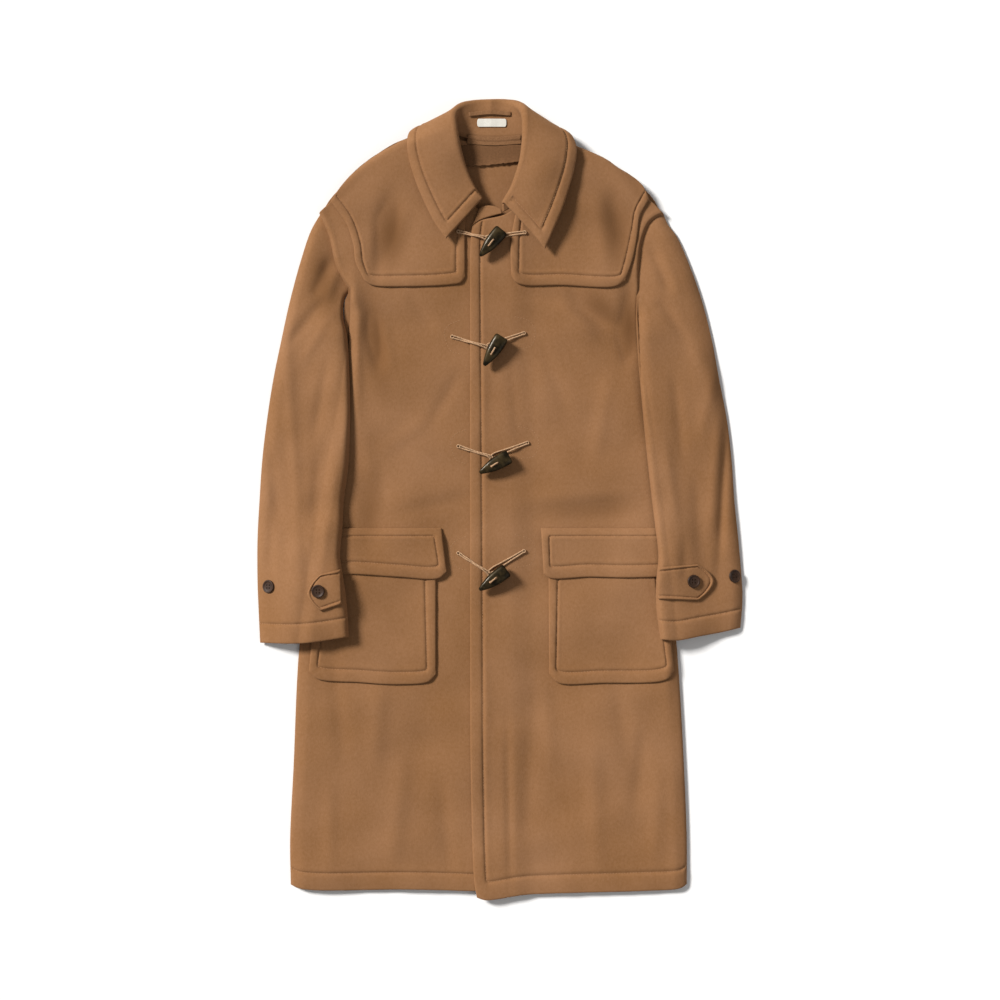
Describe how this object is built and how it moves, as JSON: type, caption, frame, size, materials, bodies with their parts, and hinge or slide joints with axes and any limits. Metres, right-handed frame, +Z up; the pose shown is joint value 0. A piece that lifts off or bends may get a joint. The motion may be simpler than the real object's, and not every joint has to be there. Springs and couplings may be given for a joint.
{
  "type": "duffle coat",
  "caption": "Wool duffle coat laid flat, with a turned-down collar, shoulder yokes, flapped patch pockets, cuff tabs, and horn toggles held by cord loops.",
  "frame": {"origin": "on the surface that the coat lies on, under the middle of its outline", "axes": "+Y from the hem towards the collar, +X towards the front that laps over, +Z up from the surface"},
  "size_m": [0.7142, 1.1769, 0.0492],
  "materials": {
    "wool": "thick brushed wool, matt with a soft nap",
    "lining": "brown cotton facing, matt",
    "tape": "woven tape",
    "label": "woven label, blank",
    "cord": "twisted cord, light tan",
    "horn": "dark horn, polished",
    "button": "dark brown, half gloss"
  },
  "bodies": {
    "root": {"back": "wool", "yoke_back": "wool", "front_under": "wool", "front_over": "wool", "yoke_left": "wool", "yoke_right": "wool", "upper_sleeve_left": "wool", "under_sleeve_left": "wool", "upper_sleeve_right": "wool", "under_sleeve_right": "wool", "pocket_left": "wool", "pocket_flap_left": "wool", "pocket_right": "wool", "pocket_flap_right": "wool", "cuff_tab_left": "wool", "cuff_tab_right": "wool", "collar": "wool", "collar_stand": "wool", "neck_facing": "lining", "neck_tape": "tape", "hanger_loop": "tape", "neck_label": "label", "cuff_button_left_1": "button", "cuff_button_left_2": "button", "cuff_button_right_1": "button", "cuff_button_right_2": "button", "toggle_1": "horn", "toggle_2": "horn", "toggle_3": "horn", "toggle_4": "horn", "toggle_cord_1": "cord", "toggle_cord_2": "cord", "toggle_cord_3": "cord", "toggle_cord_4": "cord", "toggle_loop_1": "cord", "toggle_loop_2": "cord", "toggle_loop_3": "cord", "toggle_loop_4": "cord"}
  },
  "joints": []
}
